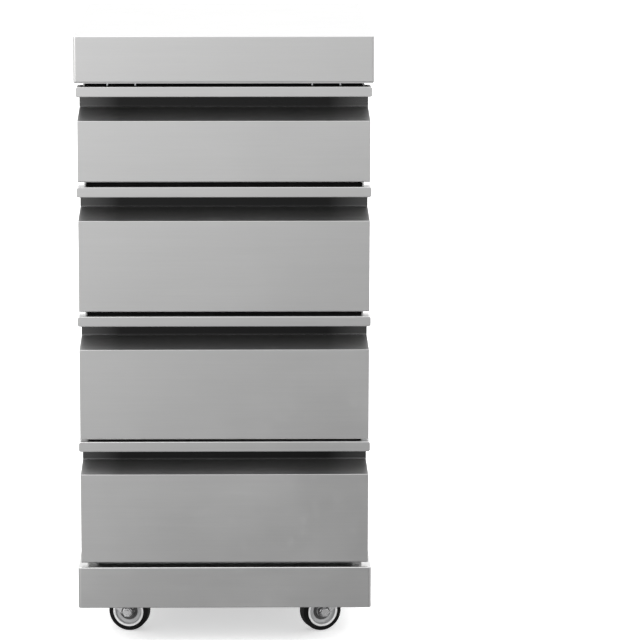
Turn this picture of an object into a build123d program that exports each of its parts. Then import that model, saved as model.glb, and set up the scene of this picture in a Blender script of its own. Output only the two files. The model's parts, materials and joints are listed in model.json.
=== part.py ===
"""Mobile stainless-steel drawer cabinet.

A folded worktop on a double-skinned carcass, four drawers with full-width grip rails on
telescopic slides, and a plinth on four swivel castors. Drawer 1 is the top one.

Millimetres. +Z is up, the drawers face -Y, and the origin is on the floor under the middle.
"""

import math
import os

from build123d import *

# ---- Driving dimensions -------------------------------------------------------------------
WIDTH = 450.0  # worktop and plinth
DEPTH = 600.0  # worktop, front to back
HEIGHT = 948.0  # floor to worktop
SHEET = 1.2  # folded outer panels
THIN_SHEET = 1.0  # drawer boxes, liners, carcass skins

WORKTOP_SKIRT = 69.5
WORKTOP_HEM = 8.0
EDGE_BAR = 1.5  # flat bar under the hem, thickness and setback

PLINTH_BOTTOM = 65.5
PLINTH_TOP = 130.0
PLINTH_SHEET = 1.5
PLINTH_HEM = 10.0
PLINTH_SETBACK = 11.0  # plinth front behind the worktop front

CARCASS_WIDTH = 424.0
SIDE_THICKNESS = 15.0
CARCASS_FRONT = -260.0
CARCASS_BACK = 284.0
CARCASS_TOP = 900.0

# Drawer fronts from the top down: the gap over each one, and its height.
FRONT_GAPS = (7.0, 7.0, 6.5, 3.0)
FRONT_HEIGHTS = (144.5, 191.0, 191.0, 190.5)
PANEL_WIDTH = 440.0
PANEL_FRONT = -292.0
PANEL_BACK = -265.0
RAIL_WIDTH = 444.0
RAIL_FRONT = -296.0
RAIL_HEIGHT = 15.4
GRIP_BACK = -267.0  # visible face of the grip recess's back wall
GRIP_CREASE = 33.0  # below the top of the front, where the wall turns into the slope
GRIP_BOTTOM = 52.0  # below the top of the front, where the slope meets the panel

BOX_LENGTH = 499.0
BOX_BELOW = 22.0  # box floor above the front's lower edge
BOX_ABOVE = 30.0  # box rim under the front's upper edge
BOX_RIM = 8.0
RAIL_OVERLAP_TOP = 22.0  # face rail behind the top of a front
RAIL_OVERLAP_BOTTOM = 14.0  # face rail behind the bottom of a front
FACE_RAIL_DEPTH = 30.0

SLIDE_LENGTH = 496.0
SLIDE_BACK = 238.0
SLIDE_ROOM = 12.8  # between the carcass side and the drawer box
SLIDE_RISE = 40.0  # slide centre above the box floor

CHANNEL_WIDTH = 44.0
CHANNEL_INNER_X = 131.4
CHANNEL_SHEET = 2.0
CHANNEL_FRONT = -290.0
CHANNEL_BACK = 280.0
CHANNEL_CLEARANCE = 1.3  # channel foot above the top of drawer 1

WHEEL_RADIUS = 31.5
HUB_RADIUS = 24.5
WHEEL_HALF_WIDTH = 11.0
AXLE_RADIUS = 4.0
CASTOR_TRAIL = 26.0
CASTOR_X = 175.0
CASTOR_Y = 168.0
CASTOR_PLATE_TOP = 80.0
CASTOR_PLATE = 2.5
CASTOR_BOLT_PITCH = 45.0
# Name, side signs and the direction in which the wheel trails at rest, in degrees.
CASTORS = (
    ("front_left", -1, -1, -12.5),
    ("front_right", 1, -1, 200.0),
    ("rear_left", -1, 1, 18.0),
    ("rear_right", 1, 1, 165.0),
)
FIT = 0.1  # clearance between parts that touch in use

HALF = WIDTH / 2
FRONT = -DEPTH / 2
WORKTOP_FOOT = HEIGHT - WORKTOP_SKIRT
SIDE_OUT = CARCASS_WIDTH / 2
SIDE_IN = SIDE_OUT - SIDE_THICKNESS
BOX_HALF = SIDE_IN - SLIDE_ROOM


def front_spans():
    """(lower edge, upper edge) of each drawer front, from the top drawer down."""
    spans = []
    edge = WORKTOP_FOOT
    for gap, height in zip(FRONT_GAPS, FRONT_HEIGHTS):
        top = edge - gap
        spans.append((top - height, top))
        edge = top - height
    return spans


SPANS = front_spans()


# ---- Helpers ------------------------------------------------------------------------------
def block(x0, x1, y0, y1, z0, z1):
    """A box between two corners."""
    size = (x1 - x0, y1 - y0, z1 - z0)
    return Pos((x0 + x1) / 2, (y0 + y1) / 2, (z0 + z1) / 2) * Box(*size)


def rod(radius, start, end, axis="Z"):
    """A cylinder on the Z axis, or laid along X or Y."""
    turn = {"Z": Rot(0, 0, 0), "X": Rot(0, 90, 0), "Y": Rot(-90, 0, 0)}[axis]
    return turn * Pos(0, 0, (start + end) / 2) * Cylinder(radius, end - start)


def hexagon(across_flats, start, end):
    """A hexagonal prism on the Z axis."""
    sketch = RegularPolygon(across_flats / 2, 6, major_radius=False)
    return Pos(0, 0, start) * extrude(sketch, end - start)


def profile_x(points, radii, x0, x1):
    """A closed outline of (y, z) points, rounded at each corner, drawn out along X."""
    outline = FilletPolyline(*[(0, y, z) for y, z in points], radius=radii, close=True)
    return Pos(x0, 0, 0) * extrude(make_face(outline), x1 - x0, dir=(1, 0, 0))


def tray(x0, x1, y0, y1, z0, z1, wall, corner, bend):
    """A folded pan that is open below, with rounded corners and top bends."""
    outer = block(x0, x1, y0, y1, z0, z1)
    outer = fillet(outer.edges().filter_by(Axis.Z), corner)
    outer = fillet(outer.edges().group_by(Axis.Z)[-1], bend)
    inner = block(x0 + wall, x1 - wall, y0 + wall, y1 - wall, z0 - 1, z1 - wall)
    inner = fillet(inner.edges().filter_by(Axis.Z), corner - wall)
    return outer - inner


def ring(x0, x1, y0, y1, z0, z1, width):
    """A flat rectangular ring, width wide."""
    inner = block(x0 + width, x1 - width, y0 + width, y1 - width, z0 - 1, z1 + 1)
    return block(x0, x1, y0, y1, z0, z1) - inner


def both_sides(solids):
    """The solids and their mirror images across the middle plane."""
    return [*solids, *[mirror(s, about=Plane.YZ) for s in solids]]


def write(name, *shapes):
    """One STEP file for a node, holding each of its pieces as a separate solid."""
    solids = [s for shape in shapes for s in shape.solids()]
    shape = solids[0] if len(solids) == 1 else Compound(children=solids)
    export_step(shape, f"parts/{name}.step")


# ---- Worktop ------------------------------------------------------------------------------
def worktop():
    """Folded top with a deep skirt and an inward hem."""
    top = tray(-HALF, HALF, FRONT, -FRONT, WORKTOP_FOOT, HEIGHT, SHEET, 4.0, 2.0)
    inset = SHEET / 2
    hem = ring(
        -HALF + inset, HALF - inset, FRONT + inset, -FRONT - inset,
        WORKTOP_FOOT, WORKTOP_FOOT + SHEET, WORKTOP_HEM,
    )  # fmt: skip
    rounded = fillet(
        block(-HALF, HALF, FRONT, -FRONT, WORKTOP_FOOT, HEIGHT).edges().filter_by(Axis.Z), 4.0
    )
    return top + (hem & rounded)


def worktop_edge_bar():
    """Flat bar under the worktop's hem."""
    return ring(
        -HALF + EDGE_BAR, HALF - EDGE_BAR, FRONT + EDGE_BAR, -FRONT - EDGE_BAR,
        WORKTOP_FOOT - EDGE_BAR, WORKTOP_FOOT, WORKTOP_HEM - EDGE_BAR,
    )  # fmt: skip


CHANNEL_FOOT = SPANS[0][1] + CHANNEL_CLEARANCE


def worktop_channels():
    """Two downward channels that carry the worktop on the carcass rails."""
    x0, x1 = CHANNEL_INNER_X, CHANNEL_INNER_X + CHANNEL_WIDTH
    top = HEIGHT - SHEET
    inside = block(
        x0 + CHANNEL_SHEET, x1 - CHANNEL_SHEET, CHANNEL_FRONT - 1, CHANNEL_BACK + 1,
        CHANNEL_FOOT - 1, top - CHANNEL_SHEET,
    )  # fmt: skip
    return both_sides([block(x0, x1, CHANNEL_FRONT, CHANNEL_BACK, CHANNEL_FOOT, top) - inside])


# ---- Carcass ------------------------------------------------------------------------------
SCREW_RADIUS = 1.7
SCREW_HEIGHTS = (160.0, 330.0, 500.0, 670.0, 840.0)
SCREW_X = SIDE_OUT - SIDE_THICKNESS / 2


def screw_holes(y0, y1):
    """Clearance holes for the back panel's screws."""
    hole = rod(SCREW_RADIUS + FIT, y0, y1, "Y")
    return [Pos(side * SCREW_X, 0, z) * hole for side in (-1, 1) for z in SCREW_HEIGHTS]


def side_panel(side):
    """Double-skinned side, folded from one sheet and open at the top and the bottom."""
    x0, x1 = sorted((side * SIDE_IN, side * SIDE_OUT))
    outer = block(x0, x1, CARCASS_FRONT, CARCASS_BACK, PLINTH_TOP, CARCASS_TOP)
    outer = fillet(outer.edges().filter_by(Axis.Z), 1.5)
    inner = block(
        x0 + THIN_SHEET, x1 - THIN_SHEET, CARCASS_FRONT + THIN_SHEET, CARCASS_BACK - THIN_SHEET,
        PLINTH_TOP - 1, CARCASS_TOP + 1,
    )  # fmt: skip
    panel = outer - inner
    for hole in screw_holes(CARCASS_BACK - 3, CARCASS_BACK + 3):
        panel -= hole
    return panel


BACK_FACE = CARCASS_BACK + THIN_SHEET


def back_panel():
    """Flat back with two shallow upright swages and a screw hole by each screw."""
    panel = block(-SIDE_OUT, SIDE_OUT, CARCASS_BACK, BACK_FACE, PLINTH_TOP, CARCASS_TOP)
    for side in (-1, 1):
        x = side * 90.0
        swage = block(x - 8, x + 8, BACK_FACE, BACK_FACE + 2, PLINTH_TOP + 60, CARCASS_TOP - 60)
        swage = chamfer(swage.edges().group_by(Axis.Y)[-1], 1.9)
        panel += swage
    for hole in screw_holes(CARCASS_BACK - 1, BACK_FACE + 1):
        panel -= hole
    return panel


def floor_panel():
    """Carcass floor with upturned side flanges."""
    edge = SIDE_IN - FIT
    back = CARCASS_BACK - FIT
    flange = 15.0
    outer = block(-edge, edge, CARCASS_FRONT, back, PLINTH_TOP, PLINTH_TOP + flange)
    inner = block(
        -edge + SHEET, edge - SHEET, CARCASS_FRONT - 1, back + 1,
        PLINTH_TOP + SHEET, PLINTH_TOP + flange + 1,
    )  # fmt: skip
    return outer - inner


def face_rail(z0, z1, y0=CARCASS_FRONT, opens=1):
    """Channel across the carcass. It opens to the back where opens is 1, else to the front."""
    edge = SIDE_IN - 2 * SHEET
    y1 = y0 + FACE_RAIL_DEPTH
    low, high = (y0 + SHEET, y1 + 1) if opens == 1 else (y0 - 1, y1 - SHEET)
    hollow = block(-edge - 1, edge + 1, low, high, z0 + SHEET, z1 - SHEET)
    return block(-edge, edge, y0, y1, z0, z1) - hollow


def face_rails():
    """Rails over, between and under the drawers, and one across the top of the back."""
    top_low = SPANS[0][1] - RAIL_OVERLAP_TOP
    top_high = CHANNEL_FOOT - FIT
    rails = [face_rail(top_low, top_high)]
    for (low, _), (_, next_top) in zip(SPANS, SPANS[1:]):
        rails.append(face_rail(next_top - RAIL_OVERLAP_TOP, low + RAIL_OVERLAP_BOTTOM))
    floor = PLINTH_TOP + SHEET + FIT
    rails.append(face_rail(floor, SPANS[-1][0] + RAIL_OVERLAP_BOTTOM))
    back = CARCASS_BACK - FACE_RAIL_DEPTH - FIT
    rails.append(face_rail(top_low, top_high, back, -1))
    return rails


# ---- Plinth -------------------------------------------------------------------------------
PLINTH_FRONT = FRONT + PLINTH_SETBACK
BEAM_HALF_WIDTH = 50.0
BEAM_SHEET = 2.0


def plinth():
    """Folded base pan, open below, with inward hems."""
    pan = tray(
        -HALF, HALF, PLINTH_FRONT, -PLINTH_FRONT, PLINTH_BOTTOM, PLINTH_TOP,
        PLINTH_SHEET, 4.0, 2.0,
    )  # fmt: skip
    inset = PLINTH_SHEET / 2
    hem = ring(
        -HALF + inset, HALF - inset, PLINTH_FRONT + inset, -PLINTH_FRONT - inset,
        PLINTH_BOTTOM, PLINTH_BOTTOM + PLINTH_SHEET, PLINTH_HEM,
    )  # fmt: skip
    rounded = block(-HALF, HALF, PLINTH_FRONT, -PLINTH_FRONT, PLINTH_BOTTOM, PLINTH_TOP)
    rounded = fillet(rounded.edges().filter_by(Axis.Z), 4.0)
    return pan + (hem & rounded)


def castor_places():
    """(name, x, y, trail direction) of each castor."""
    return [(name, sx * CASTOR_X, sy * CASTOR_Y, turn) for name, sx, sy, turn in CASTORS]


def bolt_places():
    """(x, y) of every castor bolt."""
    offset = CASTOR_BOLT_PITCH / 2
    return [
        (x + dx, y + dy)
        for _, x, y, _ in castor_places()
        for dx in (-offset, offset)
        for dy in (-offset, offset)
    ]


BOLT_RADIUS = 3.0


def castor_beams():
    """Front and rear channels that carry the castors, opening upwards into the plinth."""
    edge = HALF - PLINTH_SHEET - FIT
    top = PLINTH_TOP - PLINTH_SHEET
    hole = rod(BOLT_RADIUS + 0.2, CASTOR_PLATE_TOP - 1, CASTOR_PLATE_TOP + BEAM_SHEET + 1)
    beams = []
    for side in (-1, 1):
        y = side * CASTOR_Y
        y0, y1 = y - BEAM_HALF_WIDTH, y + BEAM_HALF_WIDTH
        hollow = block(
            -edge - 1, edge + 1, y0 + BEAM_SHEET, y1 - BEAM_SHEET,
            CASTOR_PLATE_TOP + BEAM_SHEET, top + 1,
        )  # fmt: skip
        beam = block(-edge, edge, y0, y1, CASTOR_PLATE_TOP, top) - hollow
        for bx, by in bolt_places():
            if y0 < by < y1:
                beam -= Pos(bx, by, 0) * hole
        beams.append(beam)
    return beams


# ---- Castors ------------------------------------------------------------------------------
PLATE_HALF = 31.0
RACE_TOP = CASTOR_PLATE_TOP - CASTOR_PLATE
RACE_FACE = 73.0
CROWN_TOP = 68.0
CROWN_SHEET = 2.5
KING_PIN_RADIUS = 5.0
FORK_INNER = 12.5
FORK_SHEET = 2.5
WASHER = 1.3
AXLE_HEAD = 5.0
BALL_RADIUS = 2.4
BALL_CIRCLE = 13.5


def castor_plate():
    """Top plate with its upper race, dust skirt and king pin, and the ring of bearing balls."""
    plate = block(-PLATE_HALF, PLATE_HALF, -PLATE_HALF, PLATE_HALF, RACE_TOP, CASTOR_PLATE_TOP)
    plate = fillet(plate.edges().filter_by(Axis.Z), 6.0)
    offset = CASTOR_BOLT_PITCH / 2
    hole = rod(BOLT_RADIUS + 0.2, RACE_TOP - 1, CASTOR_PLATE_TOP + 1)
    for dx in (-offset, offset):
        for dy in (-offset, offset):
            plate -= Pos(dx, dy, 0) * hole
    race = rod(22.0, RACE_FACE, RACE_TOP)
    race = fillet(race.edges().group_by(Axis.Z)[-1], 1.5)
    skirt = rod(22.0, CROWN_TOP + 1.2, RACE_FACE) - rod(20.5, CROWN_TOP, RACE_FACE + 1)
    crown_foot = CROWN_TOP - CROWN_SHEET
    pin = rod(KING_PIN_RADIUS, crown_foot - 2.6, RACE_FACE)
    head = rod(8.5, crown_foot - 2.8, crown_foot - 0.3)
    head = fillet(head.edges().group_by(Axis.Z)[0], 1.2)
    balls = [
        Rot(0, 0, 30 * i) * Pos(BALL_CIRCLE, 0, (CROWN_TOP + RACE_FACE) / 2) * Sphere(BALL_RADIUS)
        for i in range(12)
    ]
    return [plate + race + skirt + pin + head, *balls]


def castor_fork():
    """Pressed fork: a crown that turns on the king pin, and two legs to the axle."""
    crown_foot = CROWN_TOP - CROWN_SHEET
    axle = WHEEL_RADIUS
    leg_outline = [
        (-19, CROWN_TOP), (-19, CROWN_TOP - 10), (17, axle - 4), (22, axle - 9), (30, axle - 9),
        (35.5, axle - 3), (35.5, axle + 4), (21, CROWN_TOP - 8), (21, CROWN_TOP),
    ]  # fmt: skip
    points = [(x, 0, z) for x, z in leg_outline]
    outline = FilletPolyline(*points, radius=[0.5, 6, 8, 5, 5, 4, 5, 6, 0.5], close=True)
    leg = extrude(make_face(outline), FORK_SHEET, dir=(0, -1, 0))
    leg -= Pos(CASTOR_TRAIL, 0, WHEEL_RADIUS) * rod(AXLE_RADIUS + FIT, -5, 5, "Y")
    near = Pos(0, -FORK_INNER, 0) * leg
    far = Pos(0, FORK_INNER + FORK_SHEET, 0) * leg
    reach = FORK_INNER + FORK_SHEET
    crown = block(-19, 21, -reach, reach, crown_foot, CROWN_TOP)
    crown = fillet(crown.edges().filter_by(Axis.Y).group_by(Axis.Z)[-1], 1.0)
    crown += rod(20.0, crown_foot, CROWN_TOP)
    crown -= rod(KING_PIN_RADIUS + FIT, crown_foot - 1, CROWN_TOP + 1)
    return crown + near + far


def castor_axle():
    """Axle bolt along Y with its nut and two washers, each a separate solid."""
    washer_in = FORK_INNER + FORK_SHEET + FIT
    washer_out = washer_in + WASHER
    head_out = washer_out + AXLE_HEAD
    bolt = fillet(hexagon(13, washer_out, head_out).edges().group_by(Axis.Z)[-1], 0.8)
    bolt += rod(AXLE_RADIUS - FIT / 2, -head_out, washer_out)
    bore = rod(AXLE_RADIUS, -head_out - 1, head_out + 1)
    nut = fillet(hexagon(13, 0.5 - head_out, -washer_out).edges().group_by(Axis.Z)[0], 0.8)
    washers = [rod(7.5, washer_in, washer_out), rod(7.5, -washer_out, -washer_in)]
    lay = Pos(CASTOR_TRAIL, 0, WHEEL_RADIUS) * Rot(-90, 0, 0)
    return [lay * bolt, *[lay * (piece - bore) for piece in (nut, *washers)]]


def wheel_hub():
    """Hub with a raised boss and a dished face on each side."""
    half = WHEEL_HALF_WIDTH
    outline = [
        (AXLE_RADIUS + FIT / 2, -11.8), (9.0, -11.8), (9.6, -7.5), (13.0, -6.8), (19.4, -7.6),
        (21.0, -half), (HUB_RADIUS, -half), (HUB_RADIUS, half), (21.0, half), (19.4, 7.6),
        (13.0, 6.8), (9.6, 7.5), (9.0, 11.8), (AXLE_RADIUS + FIT / 2, 11.8),
    ]  # fmt: skip
    section = make_face(Polyline(*[(r, 0, w) for r, w in outline], close=True))
    return revolve(section, Axis.Z, 360)


def tyre():
    """Solid tyre with rounded shoulders and a shallow centre groove."""
    half = WHEEL_HALF_WIDTH
    outline = [
        (HUB_RADIUS, -half), (WHEEL_RADIUS, -half), (WHEEL_RADIUS, half), (HUB_RADIUS, half),
    ]  # fmt: skip
    line = FilletPolyline(*[(r, 0, w) for r, w in outline], radius=[0, 3.5, 3.5, 0], close=True)
    return revolve(make_face(line), Axis.Z, 360)


def place_castor(shape, x, y, turn):
    """Moves a castor piece from its own frame, which trails along +X, to its place."""
    return Pos(x, y, 0) * Rot(0, 0, turn) * shape


def write_castors():
    """The five kinds of castor piece; the plates share one node with the carcass."""
    wheel = Pos(CASTOR_TRAIL, 0, WHEEL_RADIUS) * Rot(-90, 0, 0)
    plates = []
    for name, x, y, turn in castor_places():
        plates += [Pos(x, y, 0) * piece for piece in castor_plate()]
        write(f"castor_fork_{name}", place_castor(castor_fork(), x, y, turn))
        write(f"castor_axle_{name}", *[place_castor(s, x, y, turn) for s in castor_axle()])
        write(f"wheel_hub_{name}", place_castor(wheel * wheel_hub(), x, y, turn))
        write(f"tyre_{name}", place_castor(wheel * tyre(), x, y, turn))
    write("castor_plates", *plates)


# ---- Fasteners ----------------------------------------------------------------------------
def fasteners():
    """Castor bolts with their nuts, and the back panel's screws."""
    inside = CASTOR_PLATE_TOP + BEAM_SHEET
    head = fillet(hexagon(10, RACE_TOP - 4.0, RACE_TOP).edges().group_by(Axis.Z)[0], 0.6)
    bolt = head + rod(BOLT_RADIUS, RACE_TOP - 1, inside + 7.5)
    nut = hexagon(10, inside, inside + 5.0) - rod(BOLT_RADIUS + 0.02, inside - 1, inside + 6)
    pieces = [Pos(x, y, 0) * piece for x, y in bolt_places() for piece in (bolt, nut)]
    cap = fillet(rod(3.8, BACK_FACE, BACK_FACE + 2.2, "Y").edges().group_by(Axis.Y)[-1], 1.4)
    screw = cap + rod(SCREW_RADIUS, BACK_FACE - 9, BACK_FACE + 0.5, "Y")
    for side in (-1, 1):
        pieces += [Pos(side * SCREW_X, 0, z) * screw for z in SCREW_HEIGHTS]
    return pieces


# ---- Slides -------------------------------------------------------------------------------
OUTER_HALF, MIDDLE_HALF, INNER_HALF = 22.8, 17.6, 12.6  # half heights of the three members
MEMBER = 1.2


def member(web, tip, half, y0, y1, z, lip=0.0):
    """A channel: web and tip are the web's and the flanges' far faces, in from the carcass side.

    A web nearer the side than the tip opens towards the drawer, and the other way round.
    """
    inward = 1 if tip > web else -1
    near, far = sorted((web, tip))
    outer = block(SIDE_IN - far, SIDE_IN - near, y0, y1, z - half, z + half)
    low = near + (MEMBER if inward == 1 else -1)
    high = far - (MEMBER if inward == -1 else -1)
    hollow = block(
        SIDE_IN - high, SIDE_IN - low, y0 - 1, y1 + 1, z - half + MEMBER, z + half - MEMBER
    )
    channel = outer - hollow
    if lip:
        for side in (-1, 1):
            z0, z1 = sorted((z + side * (half - MEMBER - lip), z + side * (half - MEMBER / 2)))
            channel += block(SIDE_IN - tip, SIDE_IN - tip + MEMBER, y0, y1, z0, z1)
    return channel


def ball_row(inset, rise, radius, y0, count, z):
    """A strip cage with its balls, as one solid."""
    pitch = 24.0
    x = SIDE_IN - inset
    row = block(x - 1.2, x + 1.2, y0, y0 + pitch * count, z + rise - 0.3, z + rise + 0.3)
    for i in range(count):
        row += Pos(x, y0 + pitch * (i + 0.5), z + rise) * Sphere(radius)
    return row


def slide_outer(z):
    """Carcass member, on both sides."""
    return both_sides([member(0.0, 10.5, OUTER_HALF, SLIDE_BACK - SLIDE_LENGTH, SLIDE_BACK, z, 1.8)])


def slide_middle(z):
    """Intermediate member with its four ball rows, on both sides."""
    y0 = SLIDE_BACK - SLIDE_LENGTH
    pieces = [member(2.6, 11.2, MIDDLE_HALF, y0, SLIDE_BACK - 3, z)]
    for side in (-1, 1):
        pieces.append(ball_row(6.5, side * 19.6, 1.8, SLIDE_BACK - 225, 8, z))
        pieces.append(ball_row(8.2, side * 14.5, 1.7, y0 + 12, 8, z))
    return both_sides(pieces)


def slide_inner(z):
    """Drawer member, on both sides."""
    return both_sides([member(12.6, 5.2, INNER_HALF, SLIDE_BACK - SLIDE_LENGTH - 3, SLIDE_BACK - 5, z)])


# ---- Drawers ------------------------------------------------------------------------------
def front_panel(low, top):
    """One sheet: lower return, face, slope, recess wall and top return, with closed ends."""
    half = PANEL_WIDTH / 2
    skin_top = top - SHEET - FIT
    points = [
        (PANEL_BACK, low), (PANEL_FRONT, low), (PANEL_FRONT, top - GRIP_BOTTOM),
        (GRIP_BACK, top - GRIP_CREASE), (GRIP_BACK, skin_top), (PANEL_BACK, skin_top),
    ]  # fmt: skip
    outer = profile_x(points, [0, 1.6, 1.2, 2.0, 0, 0], -half, half)
    slope = math.atan2(GRIP_BOTTOM - GRIP_CREASE, GRIP_BACK - PANEL_FRONT)
    drop = SHEET / math.cos(slope)
    beyond = PANEL_BACK + 5
    foot = low + SHEET
    inner_face = PANEL_FRONT + SHEET
    turn = top - GRIP_BOTTOM - drop + SHEET * math.tan(slope)
    reach = top - GRIP_CREASE - drop + (PANEL_BACK - GRIP_BACK) * math.tan(slope)
    hollow_points = [
        (beyond, foot), (inner_face, foot), (inner_face, turn),
        (PANEL_BACK, reach), (beyond, reach),
    ]  # fmt: skip
    return outer - profile_x(hollow_points, [0, 0.6, 0, 0, 0], -half + SHEET, half - SHEET)


def grip_rail(top):
    """Folded rail over the top of a front: top, face, hem and two rounded ends."""
    half = RAIL_WIDTH / 2
    low = top - RAIL_HEIGHT
    outer = block(-half, half, RAIL_FRONT, PANEL_BACK, low, top)
    outer = fillet(outer.edges().filter_by(Axis.Y), 3.0)
    outer = fillet(outer.edges().group_by(Axis.Y)[0], 1.0)
    inner = block(
        -half + SHEET, half - SHEET, RAIL_FRONT + SHEET, PANEL_BACK + 5, low - 5, top - SHEET
    )
    inner = fillet(inner.edges().filter_by(Axis.Y).group_by(Axis.Z)[-1], 1.2)
    hem = block(
        -half + 3.5, half - 3.5, RAIL_FRONT + SHEET / 2, RAIL_FRONT + 8, low, low + SHEET
    )
    return outer - inner + hem


def front_liner(low, top):
    """Flat back of a drawer front."""
    half = PANEL_WIDTH / 2 - 1
    return block(-half, half, PANEL_BACK, PANEL_BACK + THIN_SHEET, low + 1, top - SHEET - 1)


def drawer_box(low, top):
    """Folded box with an inward rim."""
    z0, z1 = low + BOX_BELOW, top - BOX_ABOVE
    y0 = PANEL_BACK + THIN_SHEET
    y1 = y0 + BOX_LENGTH
    outer = block(-BOX_HALF, BOX_HALF, y0, y1, z0, z1)
    inner = block(
        -BOX_HALF + THIN_SHEET, BOX_HALF - THIN_SHEET, y0 + THIN_SHEET, y1 - THIN_SHEET,
        z0 + THIN_SHEET, z1 + 1,
    )  # fmt: skip
    inner = fillet(inner.edges().filter_by(Axis.Z), 2.0)
    outer = fillet(outer.edges().filter_by(Axis.Z), 3.0)
    shell = outer - inner
    rim = ring(-BOX_HALF, BOX_HALF, y0, y1, z1 - THIN_SHEET, z1, BOX_RIM)
    return shell + (rim & outer)


SEAL_STRIP_MAX = 5.0
SEAL_HALF = 208.0


def drawer_seal(index, low, top):
    """Gasket behind a front, and the sealing strip on its grip rail.

    The strip of drawer 1 is in lengths that pass either side of the worktop channels' flanges.
    """
    y0 = PANEL_BACK + THIN_SHEET
    y1 = CARCASS_FRONT - 0.4
    loop = block(-SEAL_HALF, SEAL_HALF, y0, y1, low + 3, top - 3)
    loop -= block(-SEAL_HALF + 9, SEAL_HALF - 9, y0 - 1, y1 + 1, low + 12, top - 12)
    height = min(SEAL_STRIP_MAX, FRONT_GAPS[index] - 1.0)
    breaks = []
    if index == 0:
        outer_x = CHANNEL_INNER_X + CHANNEL_WIDTH
        for flange in (CHANNEL_INNER_X, outer_x - CHANNEL_SHEET):
            breaks += [side * (flange + CHANNEL_SHEET / 2) for side in (-1, 1)]
    strip = block(-SEAL_HALF, SEAL_HALF, -285.0, PANEL_BACK - 1, top, top + height)
    room = CHANNEL_SHEET / 2 + 0.5
    for x in breaks:
        strip -= block(x - room, x + room, -290.0, PANEL_BACK, top - 1, top + height + 1)
    return [loop, *strip.solids()]


def write_drawers():
    """Every node of the four drawers and their slides."""
    for index, (low, top) in enumerate(SPANS):
        number = index + 1
        slide_z = low + BOX_BELOW + SLIDE_RISE
        write(f"front_panel_{number}", front_panel(low, top))
        write(f"grip_rail_{number}", grip_rail(top))
        write(f"front_liner_{number}", front_liner(low, top))
        write(f"drawer_box_{number}", drawer_box(low, top))
        write(f"drawer_seal_{number}", *drawer_seal(index, low, top))
        write(f"slide_outer_{number}", *slide_outer(slide_z))
        write(f"slide_middle_{number}", *slide_middle(slide_z))
        write(f"slide_inner_{number}", *slide_inner(slide_z))


# ---- Build --------------------------------------------------------------------------------
os.makedirs("parts", exist_ok=True)
write("worktop", worktop())
write("worktop_edge_bar", worktop_edge_bar())
write("worktop_channels", *worktop_channels())
write("side_panel_left", side_panel(-1))
write("side_panel_right", side_panel(1))
write("back_panel", back_panel())
write("floor_panel", floor_panel())
write("face_rails", *face_rails())
write("plinth", plinth())
write("castor_beams", *castor_beams())
write("fasteners", *fasteners())
write_castors()
write_drawers()
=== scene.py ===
"""Steel drawer cabinet: an add-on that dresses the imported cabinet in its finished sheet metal,
seals, castors and fasteners, and sets up the studio around it.

Lengths are metres. +Z is up, the drawers face -Y, and the origin is on the floor under the
middle. Drawer 1 is the top one.
"""

import json
import math

import bmesh
import bpy
from bpy.props import FloatProperty, FloatVectorProperty, IntProperty, PointerProperty
from mathutils import Matrix, Vector


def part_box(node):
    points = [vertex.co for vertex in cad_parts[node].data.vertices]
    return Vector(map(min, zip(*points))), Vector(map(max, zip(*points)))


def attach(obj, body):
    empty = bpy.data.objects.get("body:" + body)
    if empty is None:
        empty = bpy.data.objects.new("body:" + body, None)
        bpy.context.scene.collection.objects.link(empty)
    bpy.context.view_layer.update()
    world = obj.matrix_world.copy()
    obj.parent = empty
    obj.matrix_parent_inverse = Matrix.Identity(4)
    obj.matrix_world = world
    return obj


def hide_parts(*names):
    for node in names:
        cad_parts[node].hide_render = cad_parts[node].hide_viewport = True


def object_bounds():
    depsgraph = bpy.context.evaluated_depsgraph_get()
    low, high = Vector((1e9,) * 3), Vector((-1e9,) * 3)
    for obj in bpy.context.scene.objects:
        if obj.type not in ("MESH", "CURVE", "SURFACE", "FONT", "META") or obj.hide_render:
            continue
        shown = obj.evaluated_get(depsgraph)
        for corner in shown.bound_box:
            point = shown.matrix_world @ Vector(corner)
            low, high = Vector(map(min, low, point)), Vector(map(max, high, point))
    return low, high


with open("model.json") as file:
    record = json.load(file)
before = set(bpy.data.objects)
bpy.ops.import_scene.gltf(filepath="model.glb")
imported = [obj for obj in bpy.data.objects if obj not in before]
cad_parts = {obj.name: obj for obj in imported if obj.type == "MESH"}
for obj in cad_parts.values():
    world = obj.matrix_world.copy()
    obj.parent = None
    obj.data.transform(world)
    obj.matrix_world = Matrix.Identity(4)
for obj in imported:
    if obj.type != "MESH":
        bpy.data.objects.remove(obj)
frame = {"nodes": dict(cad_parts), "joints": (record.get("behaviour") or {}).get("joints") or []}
CAD_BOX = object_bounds()

bl_info = {
    "name": "Steel Drawer Cabinet",
    "version": (1, 0, 0),
    "blender": (4, 5, 0),
    "location": "View3D > Sidebar > Cabinet",
    "description": "Sheet metal, seals, castors and studio for a steel drawer cabinet",
    "category": "Object",
}

MM = 0.001
DRAWERS = (1, 2, 3, 4)
CASTORS = ("front_left", "front_right", "rear_left", "rear_right")
JOINTS = {joint["name"]: joint for joint in frame["joints"]}
X, Y, Z = Vector((1, 0, 0)), Vector((0, 1, 0)), Vector((0, 0, 1))

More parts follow.
